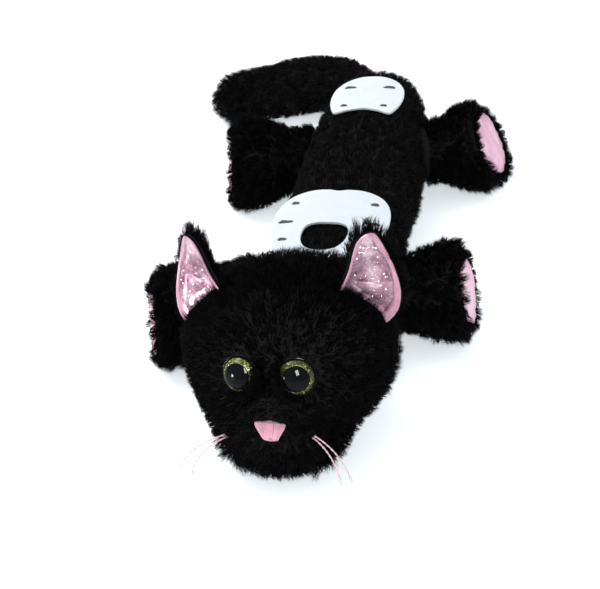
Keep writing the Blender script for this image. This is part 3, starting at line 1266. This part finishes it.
# ---- head -------------------------------------------------------------------
me = SKINS["head_plush"]
P, N = scatter(me, count_for(me, 1.9), 201, lambda q: np.where(q[:, 1] > -98, 0.6, 1.0))
keep = ~((N[:, 2] < -0.85) & (P[:, 2] < 1.5))
comb_c = np.array([0.0, -176.0, 40.0])
out = unit(P - comb_c)
comb = out + np.array([0, 0, -0.25])
L = 4.4 + 1.6 * smoothstep(-150, -128, P[:, 1]) + 1.2 * smoothstep(24, 8, P[:, 2]) + 0.9 * smoothstep(70, 84, P[:, 2])
lean = np.full(len(P), 0.60) - 0.12 * smoothstep(-140, -120, P[:, 1])
crown = smoothstep(-124, -108, P[:, 1]) * smoothstep(50, 66, P[:, 2])
L = L + (0.4 + 3.2 * smoothstep(0, 22, P[:, 0])) * crown
lean = lean - 0.25 * crown
for side in ("left", "right"):
    mid, across, upv, front, chord, height, lean_ = EARS[side]
    rel = P - mid
    along, ahead = np.abs(rel @ across), rel @ front
    w = (1 - smoothstep(0.42 * chord, 0.62 * chord, along)) * smoothstep(-0.5, 1.0, ahead) * (1 - smoothstep(3.5, 7.5, ahead))
    comb = comb * (1 - w)[:, None] + (upv * 1.2 + front * 0.1) * w[:, None]
    L = L + 3.0 * w
    lean = lean + 0.12 * w
for side in ("left", "right"):
    e, nn = eye_place(side)
    rel = P - e
    rad = np.linalg.norm(rel - (rel @ nn)[:, None] * nn, axis=1)
    close = np.linalg.norm(rel, axis=1) < 16
    keep &= ~(close & (rad < EYE_R - 0.1))
    w = np.where(close, np.exp(-(((rad - EYE_R) / 3.5) ** 2)), 0)[:, None]
    inward = unit(np.array([-0.80 if side == "left" else 0.90, 0.0, -0.60 if side == "left" else -0.30]))
    over = smoothstep(0.10, 0.60, unit(rel) @ inward)[:, None]
    comb = comb * (1 - w) + unit(rel) * w * (1.0 - 2.2 * over)
    L = L * (1 - 0.40 * w[:, 0] * (1 - over[:, 0])) + 2.6 * w[:, 0] * over[:, 0]
    lean = lean + 0.12 * w[:, 0] * (1 - over[:, 0]) - 0.14 * w[:, 0] * over[:, 0]
# nose
q = np.abs(P[:, 0] + 0.3) / (NOSE_W * (NOSE_FOOT + (1 - NOSE_FOOT) * (P[:, 2] - NOSE_BOT) / 9.0))
in_nose = (P[:, 1] < -160) & (q < 0.96) & (P[:, 2] < 40.6) & (P[:, 2] > 32.3)
keep &= ~in_nose
nd = np.hypot((P[:, 0] + 0.3) / 1.1, P[:, 2] - 38.5)
w = np.where(P[:, 1] < -158, np.exp(-((nd / 9.0) ** 2)), 0)
L = L * (1 - 0.45 * w)
lean = lean + 0.2 * w
fur("head", "head", P[keep], N[keep], comb[keep], L[keep], 0.15, lean[keep], 2.8, 0.55, 0.28, 202, FUR, (0.58, 0.28, 0.12, 0.02), rings=3)

# pile that leans over the inner and lower edge of each eye
for side, sx in (("left", 1), ("right", -1)):
    e, nn = eye_place(side)
    r = np.random.default_rng(230 + (sx > 0))
    count = 900
    a = unit(np.cross([0.0, 0.0, 1.0], nn))
    b = np.cross(nn, a)
    middle = math.atan2(-0.30, -0.95) if side == "left" else math.atan2(-0.55, 0.85)
    th = middle + np.clip(r.normal(size=count) * 0.62, -1.35, 1.35)
    rad_dir = np.cos(th)[:, None] * a + np.sin(th)[:, None] * b
    start = EYE_R + r.uniform(0.45, 2.3, count)
    reach = np.cos(np.clip((th - middle) / 1.35, -1, 1) * math.pi / 2) ** 0.5
    root = e + rad_dir * start[:, None] - nn * 1.4
    mid = e + rad_dir * (start + 0.25)[:, None] + nn * r.uniform(1.9, 2.8, count)[:, None]
    tip = e + rad_dir * (start - reach * r.uniform(2.0, 4.6, count) - 0.3)[:, None] + nn * r.uniform(3.4, 4.5, count)[:, None]
    tip += r.normal(size=(count, 3)) * 0.35
    strand_mesh("fur_lid_%s" % side, "head", root, mid, tip, r.uniform(0.11, 0.17, count), FUR, r.choice(4, count, p=(0.5, 0.34, 0.14, 0.02)), 3)

# ---- neck -------------------------------------------------------------------
me = SKINS["neck_plush"]
P, N = scatter(me, count_for(me, 1.0), 251)
keep = (P[:, 1] > -104) & (P[:, 1] < -80)
P, N = P[keep], N[keep]
fur("neck", "neck", P, N, np.tile([0.0, 1.0, -0.2], (len(P), 1)), np.full(len(P), 6.0), 0.17, 0.4, 3.0, 0.5, 0.3, 252, rings=2)

# ---- legs: long shaggy pile -------------------------------------------------
for i, name in enumerate(LIMBS):
    pivot, end, d, nrm, side, upv, length, paw = leg_frame(name)
    me = SKINS[name + "_plush"]
    s_of = lambda q: (q - pivot) @ d
    P, N = scatter(me, count_for(me, 1.7), 400 + i, lambda q: np.where(s_of(q) < -2, 0.0, 1.0) + 1e-6)
    rel = P - end
    on_plane = rel @ nrm
    rad = np.linalg.norm(rel - on_plane[:, None] * nrm, axis=1)
    keep = ~((on_plane > -1.6) & (rad < SOLE_R[name] - 0.4))
    keep &= ~((N[:, 2] < -0.85) & (P[:, 2] < 1.5))
    keep &= s_of(P) > -2
    P, N = P[keep], N[keep]
    s = s_of(P)
    rel = P - end
    plane = rel @ nrm
    radial = unit(rel - plane[:, None] * nrm)
    near_rim = smoothstep(-7.0, -0.5, plane)
    comb = (np.tile(d, (len(P), 1)) + np.array([0, 0, -0.35])) * (1 - near_rim)[:, None] + (radial * 1.0 + d * 0.15) * near_rim[:, None]
    L = 6.2 + 1.8 * smoothstep(0.4 * length, 0.8 * length, s) - 3.0 * near_rim
    lean = 0.50 - 0.15 * near_rim
    fur(name, name, P, N, comb, L, 0.18, lean, 3.4, 0.62, 0.34, 420 + i, FUR, (0.36, 0.34, 0.22, 0.08), rings=3, order=s)

# ---- tail -------------------------------------------------------------------
me = SKINS["tail_plush"]
path, rad_t = tail_curve(60)
P, N = scatter(me, count_for(me, 1.6), 501)
ti = nearest(P, path)
tan = unit(np.gradient(path, axis=0))
comb = tan[ti] + np.array([0, 0, -0.25])
endness = smoothstep(42, 58, ti)
L = 5.2 + 2.6 * endness
keep = ~((N[:, 2] < -0.85) & (P[:, 2] < 1.5))
fur("tail", "tail", P[keep], N[keep], comb[keep], L[keep], 0.17, (0.58 - 0.15 * endness)[keep], 3.0, 0.55, 0.3, 502, FUR_BODY, (0.34, 0.34, 0.24, 0.08), rings=3, order=ti[keep].astype(float))

# ---- ears: long tufts on the back and round the rim --------------------------
for side, sx in (("left", 1), ("right", -1)):
    mid, across, upv, front, chord, height, lean_ = EARS[side]
    me = SKINS["ear_%s_plush" % side]
    P, N = scatter(me, count_for(me, 3.2), 600 + (sx > 0))
    facing = N @ front
    # nothing on the face of the ear; the rim and the back carry the pile
    hw_at = ear_half_width(np.clip(((P - mid) @ upv) / (height + 1.5), 0, 1), chord / 2)
    off = np.abs((P - mid) @ across - lean_ * np.clip(((P - mid) @ upv) / height, 0, 1))
    keep = (facing < 0.35) | (off > hw_at - 0.35)
    P, N = P[keep], N[keep]
    h = (P - mid) @ upv
    xx = (P - mid) @ across
    comb = np.tile(upv, (len(P), 1)) * 0.9 + across * (0.5 * xx / 12.0)[:, None] - front * 0.35
    rim = smoothstep(-0.3, 0.3, N @ front)
    L = 5.9 + 2.0 * smoothstep(0.3 * height, height, h) - 2.9 * rim
    fur("ear_%s" % side, "ear_" + side, P, N, comb, np.maximum(L, 2.2), 0.16, 0.62, 3.2, 0.6, 0.30, 610 + (sx > 0), FUR, (0.42, 0.32, 0.20, 0.06), rings=3, droop=0.02)

for foil, me, side, wide, tall in LININGS:
    cut = 0.5 * surface_area(me)
    print("lining", side, round(cut, 1), "mm2, cut", round(wide, 1), "x", round(tall, 1))

print("strands", TOTAL["strands"], "fur triangles", TOTAL["faces"])
